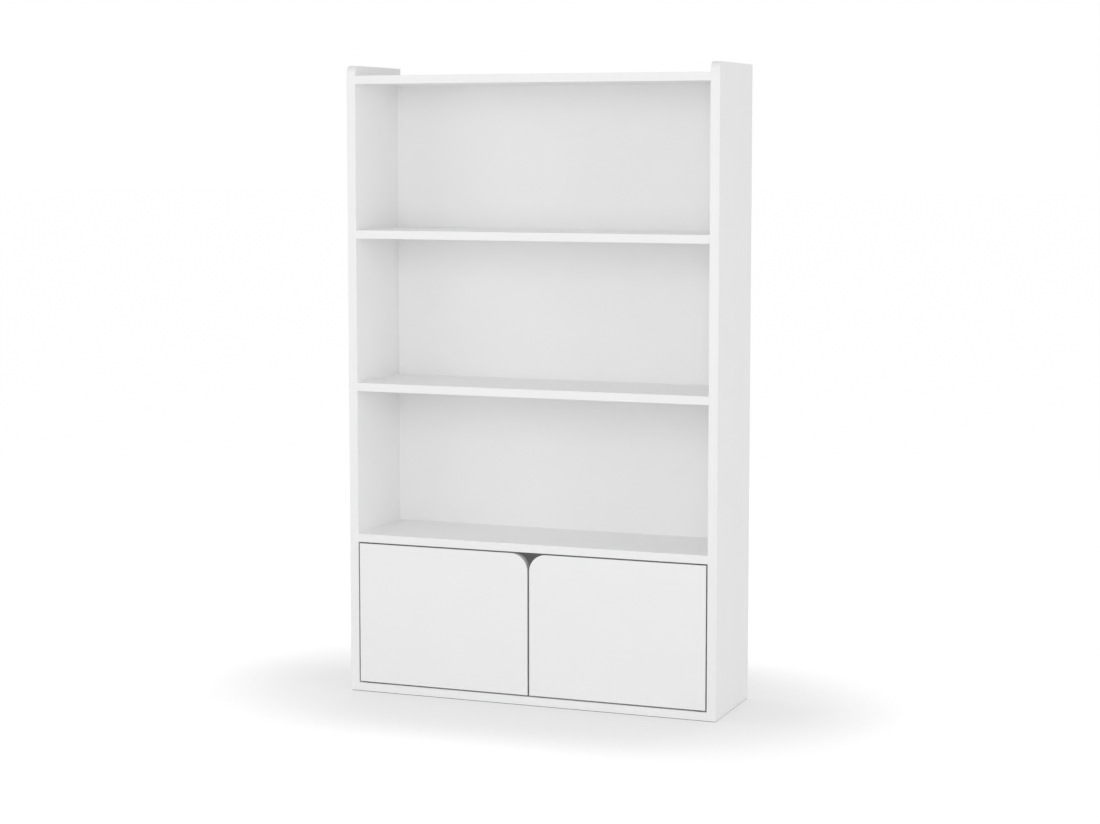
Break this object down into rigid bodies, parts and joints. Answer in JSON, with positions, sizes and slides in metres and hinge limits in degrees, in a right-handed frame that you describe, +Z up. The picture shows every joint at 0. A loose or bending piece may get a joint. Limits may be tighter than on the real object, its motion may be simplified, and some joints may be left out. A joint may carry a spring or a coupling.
{
  "type": "bookcase with cabinet doors",
  "caption": "White free-standing bookcase with open shelves above a low cabinet closed by two inset doors that swing on pivot pins.",
  "frame": {"origin": "on the floor, below the middle of the bookcase's outside box", "axes": "+X to the right seen from the front, +Y to the rear, +Z up"},
  "size_m": [0.89, 0.25, 1.45],
  "materials": {
    "white_board": "white satin laminate on particleboard",
    "white_door": "white satin laminate on particleboard",
    "back_board": "white lacquered hardboard",
    "white_plastic": "moulded white plastic",
    "bush_plastic": "pale grey nylon",
    "glide_plastic": "moulded dark grey plastic",
    "steel": "bright zinc-plated steel",
    "dark_steel": "blackened steel",
    "zinc": "die-cast zinc alloy",
    "magnet": "ferrite",
    "dowel_wood": "plain beech"
  },
  "bodies": {
    "carcass": {"left_side_panel": "white_board", "right_side_panel": "white_board", "top_panel": "white_board", "upper_shelf": "white_board", "middle_shelf": "white_board", "cabinet_top_shelf": "white_board", "bottom_panel": "white_board", "lower_back_panel": "back_board", "upper_back_panel": "back_board", "cam_cover_caps": "white_plastic", "left_catch_housing": "white_plastic", "right_catch_housing": "white_plastic", "left_lower_board_bush": "bush_plastic", "left_upper_board_bush": "bush_plastic", "right_lower_board_bush": "bush_plastic", "right_upper_board_bush": "bush_plastic", "left_front_glide": "glide_plastic", "left_rear_glide": "glide_plastic", "right_front_glide": "glide_plastic", "right_rear_glide": "glide_plastic", "cam_bolts": "steel", "back_panel_nails": "steel", "catch_screws": "steel", "catch_pole_plates": "steel", "left_lower_hinge_pin": "dark_steel", "left_upper_hinge_pin": "dark_steel", "right_lower_hinge_pin": "dark_steel", "right_upper_hinge_pin": "dark_steel", "cam_locks": "zinc", "catch_magnets": "magnet", "wood_dowels": "dowel_wood"},
    "left_door": {"left_door": "white_door", "left_lower_door_bush": "bush_plastic", "left_upper_door_bush": "bush_plastic", "left_strike_plate": "steel", "left_strike_screws": "steel"},
    "right_door": {"right_door": "white_door", "right_lower_door_bush": "bush_plastic", "right_upper_door_bush": "bush_plastic", "right_strike_plate": "steel", "right_strike_screws": "steel"}
  },
  "joints": [
    {"name": "left_door_hinge", "type": "hinge", "parent": "carcass", "child": "left_door", "pos_m": [-0.4036, -0.116, 0.0202], "axis": [0, 0, -1], "range_deg": [0, 120]},
    {"name": "right_door_hinge", "type": "hinge", "parent": "carcass", "child": "right_door", "pos_m": [0.4036, -0.116, 0.0202], "axis": [0, 0, 1], "range_deg": [0, 120]}
  ]
}
